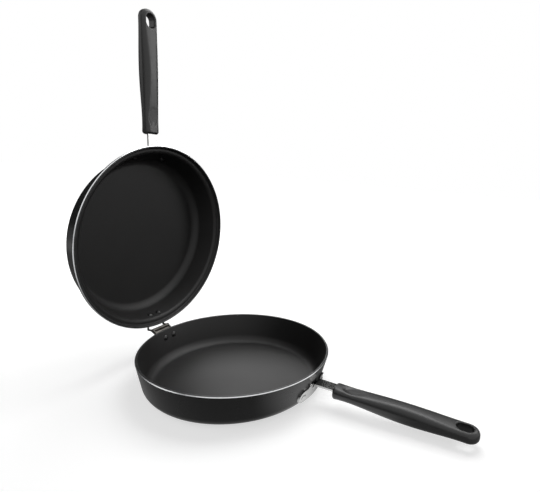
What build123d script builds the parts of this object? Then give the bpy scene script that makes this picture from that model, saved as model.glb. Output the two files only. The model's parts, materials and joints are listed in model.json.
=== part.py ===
from build123d import *
from math import cos, radians, sin, tan
import os

os.makedirs("parts", exist_ok=True)

# Double sided flip pan: two pressed aluminium pans that hinge rim to rim, each with a
# moulded grip on a steel strap opposite the hinge.
# Frame: the origin is the centre of the lower pan's flat underside. +X runs to the lower
# grip, Y lies along the hinge axis and +Z is up. Left is the -Y side. All sizes are mm.
# Each pan and its fittings are modelled rim up with the grip at +X. The upper set is then
# turned over onto the lower one and swung open about the hinge.

# Pans: both share one wall cone, and the upper one adds a stepped lip that nests over
# the lower rim.
rim_radius = 120.0
pan_height = 42.0
pan_sheet = 3.0
wall_draft = 15.0
base_corner = 15.5
rim_chamfer = 1.4
rim_round = 0.9
lip_overhang = 6.2
lip_step = 4.5
lip_flare = 1.9
lip_bend = 4.2
ledge_bend = 1.6
nest_gap = 0.3

# Hinge: the lower leaf is rolled round the pin, and the upper one is a channel whose two
# ears straddle the roll. Its ears pass under the lip, and their tails are the open stop.
open_angle = 92.0
hinge_reach = 5.6
leaf_sheet = 1.2
leaf_bend = 0.8
leaf_width = 28.0
shelf_gap = 1.4
rise_start = 6.2
rise_end = 3.4
seam_gap = 0.3
lower_plate_length = 12.0
lower_plate_width = 30.0
lower_plate_corner = 2.0
lower_rivet_drop = 5.4
shoulder_gap = 1.7
upper_plate_length = 12.3
upper_rivet_drop = 5.3
bar_radius = 1.1
eye_radius = 2.4
ear_gap = 0.15
stop_drop = 7.0
stop_tip_radius = 1.2
stop_gap = 0.3
leaf_rivet_spacing = 15.0
pin_radius = 1.2
pin_fixed_gap = 0.03
pin_running_gap = 0.06
pin_head_radius = 2.1
pin_head_height = 0.8

# Handle brackets: a riveted plate whose middle tongue bends out into the strap.
bracket_sheet = 2.2
wing_length = 63.0
wing_height = 15.5
wing_middle = 15.5
hump_length = 40.0
hump_top = 30.0
hump_height = 3.5
notch_width = 2.6
notch_floor = 19.4
strap_width = 15.0
strap_height = 22.3
strap_droop = 2.5
strap_bend = 3.4
strap_root = 16.5
tang_length = 58.0
tang_corner = 3.0
bracket_rivet_spacing = 47.0
bracket_rivet_height = 15.5

# Rivets
rivet_radius = 2.2
rivet_clearance = 0.05
inner_head_radius = 3.7
inner_head_height = 2.0
outer_head_radius = 3.6
outer_head_height = 1.4
dish_radius = 1.9
dish_depth = 0.8
seat_gap = 0.05
head_gap = 0.1

# Grips: the inner face looks at the other grip when the pan is shut. The strap's tang
# runs above the grip's middle.
grip_from_rim = 21.5
grip_length = 170.0
grip_end_width = 22.5
grip_full_width = 26.0
grip_nose_width = 26.5
inner_face_end = 7.6
inner_face_full = 8.4
inner_face_nose = 6.6
outer_face_end = 8.0
outer_face_full = 9.2
outer_face_nose = 6.4
full_from_tip = 58.0
nose_blend = 10.0
flank_round = 0.86
grip_end_round = 3.0
tang_above_middle = 1.7
socket_gap = 0.15
hang_slot_length = 19.0
hang_slot_width = 14.0
hang_slot_from_tip = 16.5
hang_slot_round = 1.6
thumb_from_end = 25.0
thumb_length = 29.0
thumb_width = 17.0
thumb_depth = 2.1
thumb_floor_round = 2.5
thumb_tilt = 4.5

# Grip screws: in from the outer face, through the tang and into the rest of the grip.
screw_from_tang_end = 8.0
screw_radius = 2.0
screw_clearance = 0.1
screw_bite = 3.0
screw_head_radius = 3.8
screw_head_height = 2.4
screw_head_edge = 0.6
screw_recess = 3.2
screw_recess_gap = 0.3
screw_cross_width = 1.0
screw_cross_length = 4.4
screw_cross_depth = 1.1

# Worked out from the sizes above
draft_slope = tan(radians(wall_draft))
draft_cosine = cos(radians(wall_draft))
lip_radius = rim_radius + lip_overhang
shoulder = pan_height - lip_step - pan_sheet
nest_depth = lip_step - nest_gap
hinge_x = lip_radius + hinge_reach
axis_height = pan_height - nest_depth / 2
shelf_top = pan_height - nest_depth - shelf_gap
shelf_under = shelf_top - leaf_sheet
knuckle_radius = pin_radius + pin_fixed_gap + leaf_sheet
lower_plate_low = shelf_top - lower_plate_length
lower_rivet_height = shelf_top - lower_rivet_drop
upper_plate_high = shoulder - shoulder_gap
upper_plate_low = upper_plate_high - upper_plate_length
upper_rivet_height = upper_plate_high - upper_rivet_drop
knuckle_width = leaf_width - 2 * (leaf_sheet + ear_gap)
tang_middle = tang_above_middle + bracket_sheet / 2
screw_from_end = tang_length - screw_from_tang_end
screw_seat = screw_recess - outer_face_end
past_rim = 2 * pan_sheet
hinge_side = Rot(0, 0, 180)
strap_place = Pos(rim_radius, 0, strap_height) * Rot(0, strap_droop, 0)
grip_place = strap_place * Pos(grip_from_rim, 0, -tang_above_middle)


def wall_radius(z):
    """Outside radius of the wall cone at height z."""
    return rim_radius - (pan_height - z) * draft_slope


def off_wall(z, gap):
    """Point at a distance from the outside of the wall, as radius and height."""
    lean = radians(wall_draft)
    return wall_radius(z) + gap * cos(lean), z - gap * sin(lean)


def wall_plane(across, z):
    """Plane on the outside of the wall on the +X side, shifted along Y, its normal pointing out."""
    lean = radians(wall_draft)
    radius = wall_radius(z)
    along = (radius**2 - across**2) ** 0.5
    outward = (along / radius * cos(lean), across / radius * cos(lean), -sin(lean))
    tangent = (-across / radius, along / radius, 0)
    return Plane(origin=(along, across, z), x_dir=tangent, z_dir=outward)


def wall_face_radius(z, gap):
    """Radius at height z of a face that stands off the wall."""
    return wall_radius(z) + gap / draft_cosine


def sheet_section(points, bends, thickness):
    """Section of bent sheet: a line of radius and height points, thickened to its left."""
    line = FilletPolyline(*points, radius=bends)
    return make_face(line.wire().offset_2d(thickness, side=Side.LEFT).edges())


def wall_band(low, high, sheet):
    """Ring of sheet that hugs the wall cone between two heights."""
    section = Polyline(
        off_wall(low, seat_gap),
        off_wall(low, seat_gap + sheet),
        off_wall(high, seat_gap + sheet),
        off_wall(high, seat_gap),
        close=True,
    )
    return revolve(Plane.XZ * make_face(section), Axis.Z)


def stamped(outline):
    """Block with an outline as seen from outside, long enough to cross the wall at +X."""
    return extrude(Plane.YZ.offset(rim_radius / 2) * outline, rim_radius)


# Pans


def pressed_pan(points, bends):
    """Pan turned from one sheet section, its rim faced flat and its outer edge chamfered."""
    body = revolve(Plane.XZ * sheet_section(points, bends, pan_sheet), Axis.Z)
    body = split(body, Plane.XY.offset(pan_height), keep=Keep.BOTTOM)
    outer_edge = body.edges().group_by(Axis.Z)[-1].sort_by(SortBy.RADIUS)[-1]
    body = chamfer(outer_edge, rim_chamfer)
    inner_edge = body.edges().group_by(Axis.Z)[-1].sort_by(SortBy.RADIUS)[0]
    return fillet(inner_edge, rim_round)


def lower_pan():
    """Plain pan: a flat base, a round corner and a straight drafted wall."""
    top = pan_height + past_rim
    points = [(0, 0), (wall_radius(0), 0), (wall_radius(top), top)]
    body = pressed_pan(points, [base_corner])
    return drilled(body, hinge_rivet_seats(lower_rivet_height) + bracket_rivet_seats())


def upper_pan():
    """The same wall, ending in a ledge and a flared lip that drops over the lower rim."""
    top = pan_height + past_rim
    flare_per_height = lip_flare / (pan_height - shoulder)
    points = [
        (0, 0),
        (wall_radius(0), 0),
        (wall_radius(shoulder), shoulder),
        (lip_radius - lip_flare, shoulder),
        (lip_radius + flare_per_height * past_rim, top),
    ]
    body = pressed_pan(points, [base_corner, ledge_bend, lip_bend])
    return drilled(body, hinge_rivet_seats(upper_rivet_height) + bracket_rivet_seats())


# Rivets


def hinge_rivet_seats(height):
    """Places of a pan's two hinge rivets on the outside of its wall, -Y side first."""
    half = leaf_rivet_spacing / 2
    return [hinge_side * Location(wall_plane(across, height)) for across in (half, -half)]


def bracket_rivet_seats():
    """Places of a pan's two handle bracket rivets on the outside of its wall, -Y side first."""
    half = bracket_rivet_spacing / 2
    return [Location(wall_plane(across, bracket_rivet_height)) for across in (-half, half)]


def drilled(body, seats):
    """Body with a rivet hole at each seat."""
    drill = Cylinder(rivet_radius + rivet_clearance, 4 * pan_sheet)
    for seat in seats:
        body -= seat * drill
    return body


def ball_radius(radius, height):
    """Radius of the ball whose cap has this radius and height."""
    return (radius**2 + height**2) / (2 * height)


def dome(radius, height):
    """Low round head standing on the XY plane."""
    ball = ball_radius(radius, height)
    return split(Pos(0, 0, height - ball) * Sphere(ball), Plane.XY, keep=Keep.TOP)


def rivet(clamped):
    """Rivet through the wall and a plate, round head inside the pan and dished head outside."""
    inside = -pan_sheet - head_gap
    outside = seat_gap + clamped + head_gap
    shank = Pos(0, 0, (inside + outside) / 2) * Cylinder(rivet_radius, outside - inside)
    inner_head = Pos(0, 0, inside) * Rot(180, 0, 0) * dome(inner_head_radius, inner_head_height)
    outer_head = Pos(0, 0, outside) * dome(outer_head_radius, outer_head_height)
    dish = ball_radius(dish_radius, dish_depth)
    dish_middle = outside + outer_head_height - dish_depth + dish
    return shank + inner_head + outer_head - Pos(0, 0, dish_middle) * Sphere(dish)


# Hinge


def lower_leaf_outline():
    """Lower leaf seen from outside: a wide plate and the narrower shelf above it."""
    plate_high = shelf_under - leaf_bend
    plate_height = plate_high - lower_plate_low
    plate = RectangleRounded(lower_plate_width, plate_height, lower_plate_corner)
    shelf_height = shelf_top - lower_plate_low - plate_height / 2
    shelf = Rectangle(knuckle_width, shelf_height)
    plate_middle = lower_plate_low + plate_height / 2
    return Pos(0, plate_middle) * plate + Pos(0, plate_middle + shelf_height / 2) * shelf


def lower_hinge_leaf():
    """Plate on the wall, bent out under the upper lip, stepped up and rolled round the pin."""
    outside = seat_gap + leaf_sheet
    shelf_end = hinge_x - rise_start
    plate_points = [
        (wall_face_radius(lower_plate_low, outside), lower_plate_low),
        (wall_face_radius(shelf_under, outside), shelf_under),
        (shelf_end, shelf_under),
    ]
    plate = revolve(Plane.XZ * sheet_section(plate_points, [leaf_bend], leaf_sheet), Axis.Z)
    plate &= stamped(lower_leaf_outline())

    roll_under = axis_height - knuckle_radius
    roll_points = [
        (shelf_end - 2 * leaf_sheet, shelf_under),
        (shelf_end, shelf_under),
        (hinge_x - rise_end, roll_under),
        (hinge_x, roll_under),
    ]
    bends = [leaf_bend + leaf_sheet, leaf_bend]
    roll = sheet_section(roll_points, bends, leaf_sheet)
    roll += Pos(hinge_x, axis_height) * Circle(knuckle_radius)
    seam = Pos(hinge_x - knuckle_radius, roll_under + leaf_sheet + seam_gap / 2)
    roll -= seam * Rectangle(2 * knuckle_radius, seam_gap)
    roll -= Pos(hinge_x, axis_height) * Circle(pin_radius + pin_fixed_gap)
    body = plate + extrude(Plane.XZ * roll, knuckle_width / 2, both=True)
    return drilled(hinge_side * body, hinge_rivet_seats(lower_rivet_height))


def beyond_wall(gap, width, corner):
    """Block that stands off the wall on the +X side, its two upright wall edges rounded."""
    block = Pos(hinge_x, 0, pan_height / 2) * Box(2 * hinge_x, width, 2 * pan_height)
    low, high = -pan_height, 2 * pan_height
    section = Polyline((0, low), off_wall(low, gap), off_wall(high, gap), (0, high), close=True)
    block -= revolve(Plane.XZ * make_face(section), Axis.Z)
    wall_edges = block.faces().filter_by(GeomType.CONE)[0].edges()
    return fillet([edge for edge in wall_edges if abs(edge.center().Y) > width / 4], corner)


def ear_outline():
    """Side of an upper ear: a cheek beside the plate, a bar out from it and a stub up to the eye."""
    cheek_height = upper_plate_high - upper_plate_low
    cheek_out = wall_face_radius(upper_plate_high, seat_gap + leaf_sheet) + leaf_sheet
    cheek_middle = (upper_plate_low + upper_plate_high) / 2
    cheek = Pos(cheek_out - rim_radius / 2, cheek_middle) * Rectangle(rim_radius, cheek_height)
    cheek = fillet(cheek.vertices().group_by(Axis.X)[-1], leaf_sheet)
    bar_height = upper_plate_high - bar_radius
    bar = Pos(hinge_x - rim_radius / 2, bar_height) * SlotCenterToCenter(rim_radius, 2 * bar_radius)
    stub_rise = axis_height - bar_height
    stub = Pos(hinge_x, bar_height + stub_rise / 2) * Rectangle(2 * bar_radius, stub_rise)
    return cheek + bar + stub + Pos(hinge_x, axis_height) * Circle(eye_radius)


def stop_lug():
    """Tail of an upper ear that meets the lower leaf's plate when the pan is fully open."""
    plate_radius = wall_face_radius(axis_height - stop_drop, seat_gap + leaf_sheet)
    ear_middle = (leaf_width - leaf_sheet) / 2
    plate_face = (plate_radius**2 - ear_middle**2) ** 0.5
    reach = hinge_x - plate_face - stop_gap - stop_tip_radius
    tip = Pos(-reach, -stop_drop) * Circle(stop_tip_radius)
    when_open = make_hull((Circle(eye_radius - stop_gap) + tip).edges())
    when_shut = Rot(0, 0, open_angle) * when_open
    return Pos(hinge_x, axis_height) * mirror(when_shut, Plane.XZ)


def upper_hinge_leaf():
    """Stamped channel: a plate riveted to the wall and two side ears that swing on the pin."""
    outline = ear_outline() + stop_lug()
    outline -= Pos(hinge_x, axis_height) * Circle(pin_radius + pin_running_gap)
    outer = beyond_wall(seat_gap, leaf_width, leaf_bend + leaf_sheet)
    inner = beyond_wall(seat_gap + leaf_sheet, leaf_width - 2 * leaf_sheet, leaf_bend)
    body = extrude(Plane.XZ * outline, leaf_width, both=True) & (outer - inner)
    return drilled(hinge_side * body, hinge_rivet_seats(upper_rivet_height))


def hinge_pin():
    """Pin along Y through the roll and both ears, with a low head at each end."""
    end = leaf_width / 2 + ear_gap
    head = Pos(0, 0, end) * dome(pin_head_radius, pin_head_height)
    body = Cylinder(pin_radius, 2 * end) + head + mirror(head, Plane.XY)
    return Pos(-hinge_x, 0, axis_height) * Rot(90, 0, 0) * body


# Handle brackets


def plate_outline():
    """Plate seen from the grip: round ended wings, a raised middle and a relief beside the strap."""
    hump_rise = wing_height / 2 + hump_height
    hump = Polyline(
        (-hump_length / 2, 0),
        (-hump_length / 2, wing_height / 2),
        (-hump_top / 2, hump_rise),
        (hump_top / 2, hump_rise),
        (hump_length / 2, wing_height / 2),
        (hump_length / 2, 0),
        close=True,
    )
    outline = Pos(0, wing_middle) * (SlotOverall(wing_length, wing_height) + make_face(hump))
    relief_height = 2 * (wing_middle + hump_rise - notch_floor)
    relief = RectangleRounded(strap_width + 2 * notch_width, relief_height, notch_width / 2)
    return outline - Pos(0, notch_floor + relief_height / 2) * relief


def handle_bracket():
    """One stamping: the plate hugs the wall and its tongue bends straight out to the grip."""
    plate = wall_band(0, pan_height, bracket_sheet) & stamped(plate_outline())

    outside = seat_gap + bracket_sheet
    fall = tan(radians(strap_droop))
    level_bend = strap_height - fall * (outside / draft_cosine - pan_height * draft_slope)
    bend_height = level_bend / (1 + fall * draft_slope)
    tang_end = strap_place * Pos(grip_from_rim + tang_length, 0, 0)
    points = [
        (wall_face_radius(strap_root, outside), strap_root),
        (wall_face_radius(bend_height, outside), bend_height),
        (tang_end.position.X, tang_end.position.Z),
    ]
    section = Plane.XZ * sheet_section(points, [strap_bend], bracket_sheet)
    tongue = extrude(section, strap_width / 2, both=True)
    end_edges = tongue.faces().sort_by(Axis.X)[-1].edges()
    tongue = fillet(end_edges.filter_by(Axis.Y, reverse=True), tang_corner)
    body = drilled(plate + tongue, bracket_rivet_seats())
    hole = Cylinder(screw_radius + screw_clearance, 4 * bracket_sheet)
    return body - strap_place * Pos(grip_from_rim + screw_from_end, 0, 0) * hole


# Grips


def grip_section(from_end, width, inner_face, outer_face):
    """Section of the grip across its length, rounded almost to a half circle at each side."""
    height = inner_face + outer_face
    section = RectangleRounded(width, height, flank_round * height / 2)
    return Plane.YZ.offset(from_end) * Pos(0, (inner_face - outer_face) / 2) * section


def grip_blank():
    """Sections lofted from the pan end to the nose, which is the last one turned half round."""
    nose_x = grip_length - grip_nose_width / 2
    full_from_end = grip_length - full_from_tip
    half_way = full_from_end / 2
    nose = (grip_nose_width, inner_face_nose, outer_face_nose)
    sections = [
        grip_section(0, grip_end_width, inner_face_end, outer_face_end),
        grip_section(
            half_way,
            (grip_end_width + grip_full_width) / 2,
            (inner_face_end + inner_face_full) / 2,
            (outer_face_end + outer_face_full) / 2,
        ),
        grip_section(full_from_end, grip_full_width, inner_face_full, outer_face_full),
        grip_section(nose_x - nose_blend, *nose),
        grip_section(nose_x, *nose),
    ]
    body = loft(sections)
    body = fillet(body.faces().sort_by(Axis.X)[0].edges(), grip_end_round)
    half = split(grip_section(nose_x, *nose), Plane.XZ, keep=Keep.TOP)
    return body + revolve(half, Axis((nose_x, 0, 0), (0, 0, 1)), 180)


def thumb_cutter():
    """Oval scoop with a rounded floor, tilted so that it is deepest towards the pan."""
    scoop = extrude(Ellipse(thumb_length / 2, thumb_width / 2), 2 * thumb_floor_round)
    scoop = fillet(scoop.edges().group_by(Axis.Z)[0], thumb_floor_round)
    floor = inner_face_end - thumb_depth
    return Pos(thumb_from_end, 0, floor) * Rot(0, -thumb_tilt, 0) * scoop


def socket_cutter():
    """Blind slot from the pan end that takes the strap's tang."""
    length = tang_length + socket_gap
    width = strap_width + 2 * socket_gap
    height = bracket_sheet + 2 * socket_gap
    slot = Box(2 * length, width, height)
    slot = fillet(slot.edges().filter_by(Axis.Z).group_by(Axis.X)[-1], tang_corner)
    return Pos(0, 0, tang_middle) * slot


def screw_cutter():
    """Recess for the screw's head and the hole for its shank, blind past the tip."""
    head_room = Cylinder(screw_head_radius + screw_recess_gap, grip_nose_width)
    head_room = Pos(0, 0, screw_seat - grip_nose_width / 2) * head_room
    bottom = screw_tip() + screw_clearance
    shank_room = Cylinder(screw_radius + screw_clearance, bottom - screw_seat)
    return Pos(screw_from_end, 0, 0) * (head_room + Pos(0, 0, (bottom + screw_seat) / 2) * shank_room)


def grip():
    """Grip with its hanging slot, thumb recess, tang socket and screw recess."""
    body = grip_blank()
    slot = extrude(SlotOverall(hang_slot_length, hang_slot_width), grip_nose_width, both=True)
    slot = Pos(grip_length - hang_slot_from_tip, 0, 0) * slot
    slotted = body - slot
    mouth = new_edges(body, slot, combined=slotted)
    body = fillet(mouth, hang_slot_round)
    return body - thumb_cutter() - socket_cutter() - screw_cutter()


def screw_tip():
    """Height of the grip screw's tip above the grip's middle."""
    return tang_middle + bracket_sheet / 2 + screw_bite


def grip_screw():
    """Pan head screw with a cross recess, driven in from the grip's outer face."""
    head = Pos(0, 0, screw_seat - screw_head_height / 2) * Cylinder(screw_head_radius, screw_head_height)
    head = fillet(head.edges().group_by(Axis.Z)[0], screw_head_edge)
    shank_length = screw_tip() - screw_seat
    shank = Pos(0, 0, screw_seat + shank_length / 2) * Cylinder(screw_radius, shank_length)
    body = head + shank
    for turn in (0, 90):
        slot = Box(screw_cross_length, screw_cross_width, 2 * screw_cross_depth)
        body -= Pos(0, 0, screw_seat - screw_head_height) * Rot(0, 0, turn) * slot
    return Pos(screw_from_end, 0, 0) * body


# Assembly


def turned_over(shape):
    """Turns an upper piece over onto the lower pan and swings it open about the hinge axis."""
    shut = Pos(0, 0, 2 * axis_height) * Rot(180, 0, 0)
    hinge = Pos(-hinge_x, 0, axis_height)
    return hinge * Rot(0, -open_angle, 0) * hinge.inverse() * shut * shape


def pan_set(name, pan, leaf, hinge_rivet_height):
    """Every piece of one pan, rim up, by node name; its rivets run from -Y to +Y."""
    sides = ["left", "right"] if name == "lower" else ["right", "left"]
    pieces = {
        "pan": pan,
        "hinge_leaf": leaf,
        "handle_bracket": handle_bracket(),
        "grip": grip_place * grip(),
        "grip_screw": grip_place * grip_screw(),
    }
    for side, seat in zip(sides, hinge_rivet_seats(hinge_rivet_height)):
        pieces["hinge_rivet_" + side] = seat * rivet(leaf_sheet)
    for side, seat in zip(sides, bracket_rivet_seats()):
        pieces["bracket_rivet_" + side] = seat * rivet(bracket_sheet)
    return {name + "_" + piece: shape for piece, shape in pieces.items()}


nodes = pan_set("lower", lower_pan(), lower_hinge_leaf(), lower_rivet_height)
nodes["hinge_pin"] = hinge_pin()
for node, shape in pan_set("upper", upper_pan(), upper_hinge_leaf(), upper_rivet_height).items():
    nodes[node] = turned_over(shape)

for node, shape in nodes.items():
    export_step(shape, "parts/" + node + ".step")
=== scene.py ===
import json
from functools import partial
from math import cos, radians, sqrt, tan

import bmesh
import bpy
import numpy as np
from mathutils import Matrix, Vector

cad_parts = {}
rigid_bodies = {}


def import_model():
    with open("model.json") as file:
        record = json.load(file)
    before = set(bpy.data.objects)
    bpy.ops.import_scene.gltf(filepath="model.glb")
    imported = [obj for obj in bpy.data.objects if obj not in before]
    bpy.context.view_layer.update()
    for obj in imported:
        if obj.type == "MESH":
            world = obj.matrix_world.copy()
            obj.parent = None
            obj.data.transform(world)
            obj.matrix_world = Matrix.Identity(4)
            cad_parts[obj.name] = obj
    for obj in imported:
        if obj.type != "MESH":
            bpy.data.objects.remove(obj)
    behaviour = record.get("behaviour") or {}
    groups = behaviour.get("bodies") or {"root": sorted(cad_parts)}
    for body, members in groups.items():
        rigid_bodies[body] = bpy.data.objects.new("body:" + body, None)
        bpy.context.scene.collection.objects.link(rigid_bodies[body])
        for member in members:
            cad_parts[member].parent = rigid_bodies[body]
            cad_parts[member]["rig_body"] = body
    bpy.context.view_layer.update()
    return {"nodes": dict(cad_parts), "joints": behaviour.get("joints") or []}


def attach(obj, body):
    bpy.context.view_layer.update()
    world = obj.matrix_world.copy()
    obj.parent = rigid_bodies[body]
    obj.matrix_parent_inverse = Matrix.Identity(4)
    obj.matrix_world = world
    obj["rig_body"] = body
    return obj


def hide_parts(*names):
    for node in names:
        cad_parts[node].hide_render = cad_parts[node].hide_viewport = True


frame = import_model()


# The two pans. Each is pressed from one 3 mm aluminium disc, coated with black non-stick
# inside and black enamel outside, then its rim is faced and chamfered back to bare metal.
# The upper one ends in a stepped lip that nests over the lower one's rim.

MM = 0.001
SAME_POINT = 0.001 * MM
RIM_RADIUS = 120.0 * MM
PAN_HEIGHT = 42.0 * MM
SHEET = 3.0 * MM
DRAFT = radians(15)
BASE_CORNER = 15.5 * MM
RIM_CHAMFER = 1.4 * MM
RIM_ROUND = 0.9 * MM
BARE_SHARE = 0.6
LIP_RADIUS = 126.2 * MM
LIP_STEP = 4.5 * MM
LIP_FLARE = 1.9 * MM
LIP_BEND = 4.2 * MM
LEDGE_BEND = 1.6 * MM
SEGMENTS_PER_SHEET = 4
MOST_SEGMENTS = 12
SPIN_STEPS = 288
PAN_CREASE = 28

HINGE = frame["joints"][0]
HINGE_AT = Vector(HINGE["pos_m"])
OPEN_ANGLE = radians(-HINGE["range_deg"][0])


def upper_place():
    """Turns a pan modelled rim up over onto the lower one and swings it open."""
    shut = Matrix.Translation((0, 0, 2 * HINGE_AT.z)) @ Matrix.Rotation(radians(180), 4, "X")
    swing = Matrix.Rotation(-OPEN_ANGLE, 4, "Y")
    return Matrix.Translation(HINGE_AT) @ swing @ Matrix.Translation(-HINGE_AT) @ shut


def wall_radius(height):
    """Outside radius of the pan's wall at a height."""
    return RIM_RADIUS - (PAN_HEIGHT - height) * tan(DRAFT)


def inner_radius(height):
    """Inside radius of the pan's wall at a height."""
    return wall_radius(height) - SHEET / cos(DRAFT)


def chamfer_top(low_radius, low_height, top_radius):
    """Where the bare band ends on the chamfer, and the chamfer's top corner."""
    band_radius = low_radius + BARE_SHARE * (top_radius - low_radius)
    band_height = low_height + BARE_SHARE * (PAN_HEIGHT - low_height)
    return [(band_radius, band_height, 0), (top_radius, PAN_HEIGHT, 0)]


def lower_section():
    """Corners of the lower pan's sheet, each a radius, a height and the radius of its bend."""
    chamfer_low = PAN_HEIGHT - RIM_CHAMFER * cos(DRAFT)
    return [
        (0, 0, 0),
        (wall_radius(0), 0, BASE_CORNER),
        (wall_radius(chamfer_low), chamfer_low, 0),
        *chamfer_top(wall_radius(chamfer_low), chamfer_low, wall_radius(PAN_HEIGHT) - RIM_CHAMFER),
        (inner_radius(PAN_HEIGHT), PAN_HEIGHT, RIM_ROUND),
        (inner_radius(SHEET), SHEET, BASE_CORNER - SHEET),
        (0, SHEET, 0),
    ]


def upper_section():
    """Corners of the upper pan's sheet, with the ledge and the flared lip."""
    shoulder = PAN_HEIGHT - LIP_STEP - SHEET
    ledge = PAN_HEIGHT - LIP_STEP
    lean = LIP_FLARE / (PAN_HEIGHT - shoulder)
    chamfer_low = PAN_HEIGHT - RIM_CHAMFER
    chamfer_low_radius = LIP_RADIUS - lean * RIM_CHAMFER
    lip_inside = LIP_RADIUS - SHEET * sqrt(1 + lean**2)
    return [
        (0, 0, 0),
        (wall_radius(0), 0, BASE_CORNER),
        (wall_radius(shoulder), shoulder, LEDGE_BEND),
        (LIP_RADIUS - LIP_FLARE, shoulder, LIP_BEND),
        (chamfer_low_radius, chamfer_low, 0),
        *chamfer_top(chamfer_low_radius, chamfer_low, LIP_RADIUS - RIM_CHAMFER),
        (lip_inside, PAN_HEIGHT, RIM_ROUND),
        (lip_inside - lean * LIP_STEP, ledge, LIP_BEND - SHEET),
        (inner_radius(ledge), ledge, LEDGE_BEND + SHEET),
        (inner_radius(SHEET), SHEET, BASE_CORNER - SHEET),
        (0, SHEET, 0),
    ]


def linear(hex_colour):
    """Linear RGBA of an sRGB hex colour."""
    channels = [int(hex_colour[i : i + 2], 16) / 255 for i in (1, 3, 5)]
    return [c / 12.92 if c <= 0.04045 else ((c + 0.055) / 1.055) ** 2.4 for c in channels] + [1]


def cells(size):
    """Scale of a pattern whose cells are a size in millimetres."""
    return 1 / (size * MM)


def add_node(owner, kind, settings=None, inputs=None, feeds=None):
    """Adds a shader node: its own settings, its inputs set or linked, and what it feeds."""
    tree = owner.node_tree
    node = tree.nodes.new(kind)
    for name, value in (settings or {}).items():
        setattr(node, name, value)
    for name, value in (inputs or {}).items():
        if isinstance(value, bpy.types.NodeSocket):
            tree.links.new(value, node.inputs[name])
        else:
            node.inputs[name].default_value = value
    for name, socket in (feeds or {}).items():
        tree.links.new(node.outputs[name], socket)
    return node


def new_material(name, surface):
    """Starts a material on object coordinates; surface is the shader's own plain settings."""
    material = bpy.data.materials.new(name)
    material.use_nodes = True
    shader = material.node_tree.nodes["Principled BSDF"]
    for key, value in surface.items():
        shader.inputs[key].default_value = value
    place = add_node(material, "ShaderNodeTexCoord").outputs["Object"]
    return material, shader, place


def two_tones(material, pattern, tones, between):
    """Goes from one hex tone to another as a pattern passes between two values."""
    share = add_node(
        material,
        "ShaderNodeMapRange",
        inputs={"Value": pattern, "From Min": between[0], "From Max": between[1]},
    )
    low, high = tones
    mixed = add_node(
        material,
        "ShaderNodeMix",
        {"data_type": "RGBA"},
        {"Factor": share.outputs["Result"], "A": linear(low), "B": linear(high)},
    )
    return mixed.outputs["Result"]


def mottle(material, shader, pattern, tones, between, roughness):
    """Varies a surface's tone and its roughness by one pattern, and gives the tone."""
    tone = two_tones(material, pattern, tones, between)
    material.node_tree.links.new(tone, shader.inputs["Base Color"])
    add_node(
        material,
        "ShaderNodeMapRange",
        inputs={"Value": pattern, "To Min": roughness[0], "To Max": roughness[1]},
        feeds={"Result": shader.inputs["Roughness"]},
    )
    return tone


def non_stick():
    """PTFE non-stick, sprayed and baked: matt charcoal with mica fleck and a soft orange peel.

    The fleck is drawn several times its real size, so that it shows.
    """
    material, shader, place = new_material("baked_non_stick", {"IOR": 1.45})
    cloud = add_node(
        material,
        "ShaderNodeTexNoise",
        inputs={"Vector": place, "Scale": cells(45.45), "Detail": 4.0},
    ).outputs["Fac"]
    tone = mottle(material, shader, cloud, ("#0e0d0d", "#131212"), (0.35, 0.65), (0.48, 0.56))
    fleck = add_node(
        material,
        "ShaderNodeTexVoronoi",
        {"feature": "F1"},
        {"Vector": place, "Scale": cells(0.9), "Randomness": 1.0},
    ).outputs["Distance"]
    mica = two_tones(material, fleck, ("#4a4845", "#000000"), (0.0, 0.16))
    add_node(
        material,
        "ShaderNodeMix",
        {"data_type": "RGBA", "blend_type": "LIGHTEN"},
        {"Factor": 1.0, "A": tone, "B": mica},
        {"Result": shader.inputs["Base Color"]},
    )
    peel = add_node(
        material,
        "ShaderNodeTexNoise",
        inputs={"Vector": place, "Scale": cells(2.381), "Detail": 3.0},
    ).outputs["Fac"]
    add_node(
        material,
        "ShaderNodeBump",
        inputs={"Height": peel, "Distance": 0.04 * MM, "Strength": 0.35},
        feeds={"Normal": shader.inputs["Normal"]},
    )
    return material


def wall_enamel():
    """Black enamel baked on the outside: smooth and glossier than the non-stick, faintly wavy."""
    material, shader, place = new_material(
        "baked_enamel", {"Specular IOR Level": 0.3, "IOR": 1.5}
    )
    cloud = add_node(
        material,
        "ShaderNodeTexNoise",
        inputs={"Vector": place, "Scale": cells(62.5), "Detail": 5.0},
    ).outputs["Fac"]
    mottle(material, shader, cloud, ("#0c0c0c", "#121212"), (0.3, 0.7), (0.2, 0.32))
    wave = add_node(
        material,
        "ShaderNodeTexNoise",
        inputs={"Vector": place, "Scale": cells(3.846), "Detail": 2.0},
    ).outputs["Fac"]
    add_node(
        material,
        "ShaderNodeBump",
        inputs={"Height": wave, "Distance": 0.03 * MM, "Strength": 0.25},
        feeds={"Normal": shader.inputs["Normal"]},
    )
    return material


def turned_rim():
    """Bare aluminium where the rim was chamfered on a lathe: bright, with fine turning marks.

    The marks are drawn some ten times as coarse as a lathe leaves them, so that they show.
    """
    material, shader, place = new_material("turned_aluminium", {"Metallic": 1.0})
    marks = add_node(
        material,
        "ShaderNodeTexNoise",
        inputs={"Vector": place, "Scale": cells(1.1111), "Detail": 2.0},
    ).outputs["Fac"]
    mottle(material, shader, marks, ("#d9dadc", "#f1f2f3"), (0.3, 0.7), (0.22, 0.38))
    return material


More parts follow.
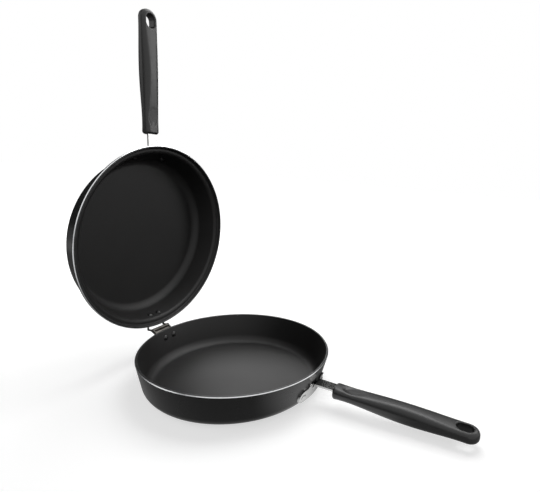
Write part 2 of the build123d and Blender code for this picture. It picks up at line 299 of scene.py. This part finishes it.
def rim_highlight_coat():
    """The pan's black coating on the rim's top and rounding: a little smoother, and greyed as a
    painted highlight.
    """
    material, shader, place = new_material("rim_painted_highlight", {"IOR": 1.5, "Metallic": 0.35})
    # The grey tones, patchy at random, are painted highlight on the rim.
    highlight_patches = add_node(
        material,
        "ShaderNodeTexNoise",
        inputs={"Vector": place, "Scale": cells(3.333), "Detail": 4.0},
    ).outputs["Fac"]
    mottle(material, shader, highlight_patches, ("#303131", "#424343"), (0.35, 0.7), (0.32, 0.46))
    return material


PAN_COATS = (non_stick(), wall_enamel(), turned_rim(), rim_highlight_coat())
INSIDE, OUTSIDE, BARE_BAND, PAINTED_RIM_HIGHLIGHT = range(len(PAN_COATS))
CHAMFER_LEAN = 0.35
FACES_IN = -0.02
FACES_UP = 0.5


def pan_coat(face):
    """Which coat a pan's face has, by where it is and how it faces with the pan rim up."""
    middle = face.calc_center_median()
    out = Vector((middle.x, middle.y, 0)).normalized().dot(face.normal)
    up = face.normal.z
    on_chamfer = out > CHAMFER_LEAN and up > CHAMFER_LEAN
    if on_chamfer and middle.z < PAN_HEIGHT - (1 - BARE_SHARE) * RIM_CHAMFER:
        return BARE_BAND
    # The chamfer's top and the rim's rounding take the coat with the painted rim highlight.
    if on_chamfer or middle.z > PAN_HEIGHT - RIM_ROUND and out < CHAMFER_LEAN:
        return PAINTED_RIM_HIGHLIGHT
    return INSIDE if out < FACES_IN or up > FACES_UP else OUTSIDE


def finish_mesh(bm, name, crease):
    """Makes an object of a mesh, smooth except at edges sharper than a crease in degrees."""
    mesh = bpy.data.meshes.new(name)
    bm.to_mesh(mesh)
    bm.free()
    mesh.shade_smooth()
    mesh.set_sharp_from_angle(angle=radians(crease))
    piece = bpy.data.objects.new(name, mesh)
    bpy.context.scene.collection.objects.link(piece)
    return piece


def press_pan(name, section, place):
    """Bends a sheet's section, spins it into a pan, coats its faces and puts it in place."""
    bm = bmesh.new()
    corners = [bm.verts.new((radius, 0, height)) for radius, height, _ in section]
    bm.faces.new(corners)
    setbacks = []
    for i, (_, _, bend) in enumerate(section):
        before = corners[i - 1].co - corners[i].co
        after = corners[(i + 1) % len(corners)].co - corners[i].co
        setbacks.append(bend / tan(before.angle(after) / 2))
    for corner, (_, _, bend), setback in zip(corners, section, setbacks):
        if bend:
            bmesh.ops.bevel(
                bm,
                geom=[corner],
                offset=setback,
                offset_type="OFFSET",
                segments=min(MOST_SEGMENTS, SEGMENTS_PER_SHEET * (1 + int(bend / SHEET))),
                profile=0.5,
                affect="VERTICES",
                material=-1,
            )
    bmesh.ops.delete(bm, geom=bm.faces[:], context="FACES_ONLY")
    on_axis = [edge for edge in bm.edges if all(vert.co.x < SAME_POINT for vert in edge.verts)]
    bmesh.ops.delete(bm, geom=on_axis, context="EDGES")
    bmesh.ops.spin(
        bm,
        geom=bm.verts[:] + bm.edges[:],
        cent=(0, 0, 0),
        axis=(0, 0, 1),
        angle=radians(360),
        steps=SPIN_STEPS,
        use_merge=True,
    )
    bmesh.ops.remove_doubles(bm, verts=bm.verts, dist=SAME_POINT)
    bmesh.ops.recalc_face_normals(bm, faces=bm.faces)
    for face in bm.faces:
        face.material_index = pan_coat(face)
    bmesh.ops.transform(bm, matrix=place, verts=bm.verts)
    piece = finish_mesh(bm, name, PAN_CREASE)
    for coat in PAN_COATS:
        piece.data.materials.append(coat)
    return piece


PLACES = {"lower": Matrix(), "upper": upper_place()}

lower_dish = press_pan("lower_dish", lower_section(), PLACES["lower"])
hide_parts("lower_pan")
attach(lower_dish, "lower_half")

upper_dish = press_pan("upper_dish", upper_section(), PLACES["upper"])
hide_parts("upper_pan")
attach(upper_dish, "upper_half")


# The hinge. Two stamped steel leaves, oxidised grey, turn on one through pin, and are
# held to the pans by two rivets each, whose round heads sit inside under the coating.

PIECE_CREASE = 32


def smooth_copy(node, name, material, reshape=None):
    """A merged copy of a frame piece, reshaped if asked and shaded smooth, that stands for it."""
    source = frame["nodes"][node]
    bm = bmesh.new()
    bm.from_mesh(source.data)
    bmesh.ops.remove_doubles(bm, verts=bm.verts, dist=SAME_POINT)
    if reshape is not None:
        reshape(bm)
    piece = finish_mesh(bm, name, PIECE_CREASE)
    piece.data.materials.append(material)
    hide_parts(node)
    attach(piece, source["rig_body"])
    return piece


def oxidised_steel():
    """Stamped mild steel under a thin grey oxide: half-dull, rubbed paler in patches."""
    material, shader, place = new_material("oxidised_steel", {"Metallic": 1.0})
    wear = add_node(
        material,
        "ShaderNodeTexNoise",
        inputs={"Vector": place, "Scale": cells(7.143), "Detail": 6.0},
    ).outputs["Fac"]
    mottle(material, shader, wear, ("#4a4845", "#6b6864"), (0.35, 0.75), (0.34, 0.52))
    add_node(
        material,
        "ShaderNodeBump",
        inputs={"Height": wear, "Distance": 0.03 * MM, "Strength": 0.3},
        feeds={"Normal": shader.inputs["Normal"]},
    )
    return material


def coated_head():
    """Rivet heads sprayed black with the pan; the coat flows smoother over them and shines."""
    material, shader, place = new_material("coated_rivet", {"IOR": 1.5})
    flow = add_node(
        material,
        "ShaderNodeTexNoise",
        inputs={"Vector": place, "Scale": cells(2.0), "Detail": 2.0},
    ).outputs["Fac"]
    mottle(material, shader, flow, ("#1c1c1c", "#262626"), (0.3, 0.7), (0.26, 0.36))
    return material


OXIDISED = oxidised_steel()
COATED_HEAD = coated_head()
for node in ("lower_hinge_leaf", "upper_hinge_leaf", "hinge_pin"):
    smooth_copy(node, node + "_oxidised", OXIDISED)
for half in ("lower", "upper"):
    for side in ("left", "right"):
        rivet = f"{half}_hinge_rivet_{side}"
        smooth_copy(rivet, rivet + "_coated", COATED_HEAD)


# The handle brackets. Each is one stainless stamping whose tongue bends out as the strap
# and runs on inside the grip. Two rivets with dished outer heads hold it to the wall; their
# inner heads lie under the pan's coating.


def rolled_stainless():
    """Stainless strip as rolled: pale grey, satin, with short rolling lines.

    The lines run along X, as the lower strap does, and are drawn far wider than real ones.
    """
    material, shader, place = new_material("rolled_stainless", {"Metallic": 1.0})
    along, across = cells(40.0), cells(3.846)
    grain = add_node(
        material, "ShaderNodeMapping", inputs={"Vector": place, "Scale": (along, across, across)}
    ).outputs["Vector"]
    lines = add_node(
        material, "ShaderNodeTexNoise", inputs={"Vector": grain, "Scale": 1.0, "Detail": 4.0}
    ).outputs["Fac"]
    mottle(material, shader, lines, ("#b0b0af", "#bcbcbb"), (0.3, 0.7), (0.16, 0.19))
    add_node(
        material,
        "ShaderNodeBump",
        inputs={"Height": lines, "Distance": 0.01 * MM, "Strength": 0.12},
        feeds={"Normal": shader.inputs["Normal"]},
    )
    return material


def coat_inner_head(piece, place):
    """Gives the faces of a rivet that lie inside its pan the coat of the hinge's rivet heads."""
    piece.data.materials.append(COATED_HEAD)
    rim_up = place.inverted()
    for face in piece.data.polygons:
        middle = rim_up @ face.center
        inside = middle.xy.length < inner_radius(middle.z)
        face.material_index = 1 if inside else 0


STAINLESS = rolled_stainless()
for half in ("lower", "upper"):
    bracket = f"{half}_handle_bracket"
    smooth_copy(bracket, bracket + "_stamping", STAINLESS)
    for side in ("left", "right"):
        rivet = f"{half}_bracket_rivet_{side}"
        coat_inner_head(smooth_copy(rivet, rivet + "_set", STAINLESS), PLACES[half])


# The grips and their screws. Compression-moulded phenolic with crowned faces, a hanging
# slot and a thumb recess that runs out softly into the face; one plated screw from the
# outer face holds each on its strap.

STRAP_HEIGHT = 22.3 * MM
STRAP_DROOP = radians(2.5)
GRIP_FROM_RIM = 21.5 * MM
TANG_ABOVE_MIDDLE = 1.7 * MM
GRIP_PLACE = (
    Matrix.Translation((RIM_RADIUS, 0, STRAP_HEIGHT))
    @ Matrix.Rotation(STRAP_DROOP, 4, "Y")
    @ Matrix.Translation((GRIP_FROM_RIM, 0, -TANG_ABOVE_MIDDLE))
)
GRIP_HALF_WIDTH = 13.25 * MM
CROWN = 0.15
END_REACH = 5.0 * MM
END_PULL = 0.16
CUT_STEP = 1.5 * MM
CUTS_ACROSS = range(-8, 9)
CUTS_ALONG = range(-16, 17)
RECESS_X = 25.0 * MM
RECESS_HALF_LENGTH = 14.5 * MM
RECESS_HALF_WIDTH = 8.5 * MM
RECESS_TILT = radians(4.5)
RECESS_FLOOR = 5.5 * MM
RECESS_EDGE = (0.6, 1.1)
FACE_ROUND_IT = (1.03, 1.4)
FACE_ABOVE = 5.0 * MM
WELD = 0.2 * MM
EASE_STEPS = 6
SOCKET_END = 58.5 * MM
SOCKET_HALF_WIDTH = 8.0 * MM
SOCKET_LOW = 1.4 * MM
SOCKET_HIGH = 4.3 * MM
SOCKET_CLEAR = 0.02 * MM


def moulded_phenolic():
    """Compression-moulded phenolic: near black, satin from a blasted mould, faintly mottled.

    The blasting is drawn several times as coarse as the mould's grit, so that it shows.
    """
    material, shader, place = new_material("moulded_phenolic", {"IOR": 1.55})
    cloud = add_node(
        material,
        "ShaderNodeTexNoise",
        inputs={"Vector": place, "Scale": cells(16.667), "Detail": 3.0},
    ).outputs["Fac"]
    mottle(material, shader, cloud, ("#121212", "#181717"), (0.3, 0.7), (0.34, 0.46))
    blast = add_node(
        material,
        "ShaderNodeTexNoise",
        inputs={"Vector": place, "Scale": cells(0.7143), "Detail": 2.0},
    ).outputs["Fac"]
    add_node(
        material,
        "ShaderNodeBump",
        inputs={"Height": blast, "Distance": 0.03 * MM, "Strength": 0.3},
        feeds={"Normal": shader.inputs["Normal"]},
    )
    return material


def recess_out(co):
    """How far out of the thumb recess a point is: 0 at its middle, 1 at its edge."""
    along = (co.x - RECESS_X) / RECESS_HALF_LENGTH
    across = co.y / RECESS_HALF_WIDTH
    return sqrt(along**2 + across**2)


def face_terms(co):
    """Terms of the smooth surface that the grip's inner face has round the recess."""
    x, y = co.x / RECESS_X, co.y / RECESS_X
    return (1, x, x**2, x**3, y**2, y**4, x * y**2)


def ease_recess(bm):
    """Turns the thumb recess's steep wall into a dish that runs out softly into the face.

    The face that the recess took away is worked out from the face left round it.
    """
    nearest, furthest = FACE_ROUND_IT
    above = [vert for vert in bm.verts if vert.co.z > SOCKET_HIGH + SOCKET_CLEAR]
    ring = [vert.co for vert in above if nearest < recess_out(vert.co) < furthest]
    ring = [co for co in ring if co.z > FACE_ABOVE]
    fit = np.linalg.lstsq([face_terms(co) for co in ring], [co.z for co in ring], rcond=None)[0]
    start, end = RECESS_EDGE
    dish = [vert for vert in above if recess_out(vert.co) < end]
    for vert in dish:
        out = recess_out(vert.co)
        face = vert.co.z if out > nearest else float(np.dot(fit, face_terms(vert.co)))
        floor = RECESS_FLOOR + tan(RECESS_TILT) * (vert.co.x - RECESS_X)
        rise = min(1, max(0, (out - start) / (end - start)))
        vert.co.z = face + (1 - rise * rise * (3 - 2 * rise)) * min(0, floor - face)
    bmesh.ops.remove_doubles(bm, verts=dish, dist=WELD)
    dish = [vert for vert in dish if vert.is_valid]
    for _ in range(EASE_STEPS):
        bmesh.ops.smooth_vert(
            bm, verts=dish, factor=0.5, use_axis_x=True, use_axis_y=True, use_axis_z=True
        )


def mould(place, bm):
    """Cuts a grip's faces fine, eases its recess and rounds it off; the socket keeps its size."""
    bmesh.ops.transform(bm, matrix=place.inverted(), verts=bm.verts)
    cuts = [((0, cut * CUT_STEP, 0), (0, 1, 0)) for cut in CUTS_ACROSS]
    cuts += [((RECESS_X + cut * CUT_STEP, 0, 0), (1, 0, 0)) for cut in CUTS_ALONG]
    for plane_co, plane_no in cuts:
        bmesh.ops.bisect_plane(
            bm,
            geom=bm.verts[:] + bm.edges[:] + bm.faces[:],
            plane_co=plane_co,
            plane_no=plane_no,
            dist=SAME_POINT,
        )
    ease_recess(bm)
    for vert in bm.verts:
        in_socket = vert.co.x < SOCKET_END and SOCKET_LOW < vert.co.z < SOCKET_HIGH
        if not in_socket or abs(vert.co.y) > SOCKET_HALF_WIDTH:
            vert.co.z *= 1 - CROWN * (vert.co.y / GRIP_HALF_WIDTH) ** 2
            vert.co.y *= 1 - END_PULL * max(0, 1 - vert.co.x / END_REACH) ** 2
    bmesh.ops.transform(bm, matrix=place, verts=bm.verts)


PHENOLIC = moulded_phenolic()
for half in ("lower", "upper"):
    grip = f"{half}_grip"
    smooth_copy(grip, grip + "_moulding", PHENOLIC, partial(mould, PLACES[half] @ GRIP_PLACE))
    smooth_copy(grip + "_screw", grip + "_screw_plated", STAINLESS)


# The studio. A matt pale floor runs out into a white surround, under four softboxes. Gloss
# sees more of a room than that: bright areas of the floor, a window and a narrow lit strip.

FLOOR_HALF = 6.0

# The lift and each glow have a reach, in metres on the floor, and levels at its two ends.
FLOOR_LIFT = ((0.4, 0.9), (0.62, 1.0))
FRONT_GLOW = ((-0.35, -0.2), (0.9, 0.38))
FRONT_GLOW_LEFT = ((-0.3, 0.1), (0.4, 1.0))
FRONT_GLOW_BACK = ((0.0, 0.15), (1.0, 0.1))
LEFT_GLOW = ((-0.9, -0.82), (0.24, 0.0))
LEFT_GLOW_END = ((-1.35, -1.2), (0.0, 1.0))
UNDER_PLATE = (0.16, -0.04, 0)
PLATE_GLOW = ((0.03, 0.085), (0.9, 0.0))


def fade(owner, value, reach, levels, times=1.0):
    """Goes softly from one level to another over a reach of a value, times what is given."""
    step = add_node(
        owner,
        "ShaderNodeMapRange",
        {"interpolation_type": "SMOOTHSTEP"},
        {
            "Value": value,
            "From Min": reach[0],
            "From Max": reach[1],
            "To Min": levels[0],
            "To Max": levels[1],
        },
    )
    product = add_node(
        owner, "ShaderNodeMath", {"operation": "MULTIPLY"}, {0: step.outputs["Result"], 1: times}
    )
    return product.outputs["Value"]


def pale_floor():
    """Matt pale floor: it keeps the shadow near the object and is lifted to white further off.

    In gloss it glows in front, faintly on the left, and under the lower bracket's plate.
    """
    material, shader, place = new_material(
        "pale_floor",
        {
            "Base Color": linear("#c4c4c4"),
            "Roughness": 0.9,
            "Specular IOR Level": 0.1,
            "Emission Color": (1, 1, 1, 1),
        },
    )
    rays = add_node(material, "ShaderNodeLightPath").outputs
    away = add_node(material, "ShaderNodeVectorMath", {"operation": "LENGTH"}, {0: place})
    lift = fade(material, away.outputs["Value"], *FLOOR_LIFT, rays["Is Camera Ray"])
    material.node_tree.links.new(lift, shader.inputs["Emission Strength"])

    parts = add_node(material, "ShaderNodeSeparateXYZ", inputs={"Vector": place}).outputs
    front = fade(material, parts["Y"], *FRONT_GLOW)
    front = fade(material, parts["X"], *FRONT_GLOW_LEFT, front)
    front = fade(material, parts["Y"], *FRONT_GLOW_BACK, front)
    left = fade(material, parts["X"], *LEFT_GLOW)
    left = fade(material, parts["X"], *LEFT_GLOW_END, left)
    from_plate = add_node(
        material, "ShaderNodeVectorMath", {"operation": "DISTANCE"}, {0: place, 1: UNDER_PLATE}
    )
    glow = fade(material, from_plate.outputs["Value"], *PLATE_GLOW)
    for other in (left, front):
        total = add_node(material, "ShaderNodeMath", {"operation": "ADD"}, {0: glow, 1: other})
        glow = total.outputs["Value"]
    in_gloss = add_node(material, "ShaderNodeEmission", inputs={"Strength": glow})
    add_node(
        material,
        "ShaderNodeMixShader",
        inputs={
            0: rays["Is Glossy Ray"],
            1: shader.outputs["BSDF"],
            2: in_gloss.outputs["Emission"],
        },
        feeds={"Shader": material.node_tree.nodes["Material Output"].inputs["Surface"]},
    )
    return material


bm = bmesh.new()
bmesh.ops.create_grid(bm, x_segments=1, y_segments=1, size=FLOOR_HALF)
floor = finish_mesh(bm, "floor", PIECE_CREASE)
floor.data.materials.append(pale_floor())

# The window and the strip each have a direction, the cosines from it at which they begin
# and are full, and a level.
WINDOW = ((0.6, -0.2, 0.775), (0.35, 0.6), 0.95)
LIT_STRIP = ((0.722, 0.692, 0.0), (0.978, 0.993), 2.4)
LEFT_TO_RIGHT = ((-0.8, 0.3), (0.04, 0.35))
OFF_THE_FLOOR = (-0.02, 0.1)
OVERHEAD_LEVEL = 0.04
SOFT_LEVEL = 0.2
WHITE_LEVEL = 1.0


def studio_world():
    """White to the camera and soft grey for light; dim in gloss, but for the window and strip."""
    world = bpy.data.worlds.new("studio")
    world.use_nodes = True
    direction = add_node(world, "ShaderNodeTexCoord").outputs["Generated"]
    parts = add_node(world, "ShaderNodeSeparateXYZ", inputs={"Vector": direction}).outputs
    rays = add_node(world, "ShaderNodeLightPath").outputs
    level = fade(world, parts["X"], *LEFT_TO_RIGHT)
    layers = [(fade(world, parts["Z"], OFF_THE_FLOOR, (0.0, 1.0)), OVERHEAD_LEVEL)]
    for toward, nearness, bright in (WINDOW, LIT_STRIP):
        cosine = add_node(
            world, "ShaderNodeVectorMath", {"operation": "DOT_PRODUCT"}, {0: direction, 1: toward}
        )
        layers.append((fade(world, cosine.outputs["Value"], nearness, (0.0, 1.0)), bright))
    not_gloss = add_node(
        world, "ShaderNodeMath", {"operation": "SUBTRACT"}, {0: 1.0, 1: rays["Is Glossy Ray"]}
    )
    layers.append((not_gloss.outputs["Value"], SOFT_LEVEL))
    layers.append((rays["Is Camera Ray"], WHITE_LEVEL))
    for share, over in layers:
        mixed = add_node(world, "ShaderNodeMix", inputs={"Factor": share, "A": level, "B": over})
        level = mixed.outputs["Result"]
    background = world.node_tree.nodes["Background"]
    background.inputs["Color"].default_value = (1, 1, 1, 1)
    world.node_tree.links.new(level, background.inputs["Strength"])
    return world


bpy.context.scene.world = studio_world()


def softbox(name, at, aim, size, power):
    """Square softbox at a place, aimed at another."""
    lamp = bpy.data.lights.new(name, "AREA")
    lamp.shape = "SQUARE"
    lamp.size = size
    lamp.energy = power
    holder = bpy.data.objects.new(name, lamp)
    holder.location = at
    holder.rotation_euler = (Vector(aim) - Vector(at)).to_track_quat("-Z", "Y").to_euler()
    bpy.context.scene.collection.objects.link(holder)


softbox("key_softbox", at=(-0.1, 0.7, 1.35), aim=(0.05, 0, 0.05), size=1.1, power=14)
softbox("back_softbox", at=(-0.8, 1.1, 0.85), aim=(0.05, 0, 0), size=0.6, power=4.2)
softbox("left_softbox", at=(-0.85, -0.7, 0.8), aim=(0, 0, 0.1), size=0.8, power=2.5)
softbox("right_softbox", at=(0.65, 0.8, 0.75), aim=(-0.15, 0, 0.4), size=0.5, power=2.4)


# The camera. It stands in front of the lower grip, about as high as the open pan's top, and
# looks a little left and down. Its lens is shifted, as its axis is off the picture's middle.

FOCAL_PX = 412.98
PICTURE_WIDTH_PX = 540
PICTURE_HEIGHT_PX = 492
AXIS_AT_PX = (356.34, 203.41)
CAMERA_AT = (0.313753, -0.443769, 0.287790)
CAMERA_RIGHT = (0.9339034, 0.3494915, 0.0753670)
CAMERA_UP = (-0.1005944, 0.0545755, 0.9934296)
CAMERA_BACK = (0.3430820, -0.9353487, 0.0861252)

lens = bpy.data.cameras.new("camera")
lens.sensor_width = 36.0
lens.lens = FOCAL_PX * lens.sensor_width / PICTURE_WIDTH_PX
lens.shift_x = (PICTURE_WIDTH_PX / 2 - AXIS_AT_PX[0]) / PICTURE_WIDTH_PX
lens.shift_y = (AXIS_AT_PX[1] - PICTURE_HEIGHT_PX / 2) / PICTURE_WIDTH_PX
camera = bpy.data.objects.new("camera", lens)
turn = Matrix((CAMERA_RIGHT, CAMERA_UP, CAMERA_BACK)).transposed().to_4x4()
camera.matrix_world = Matrix.Translation(CAMERA_AT) @ turn
bpy.context.scene.collection.objects.link(camera)
bpy.context.scene.camera = camera

bpy.context.scene.view_settings.view_transform = "Standard"
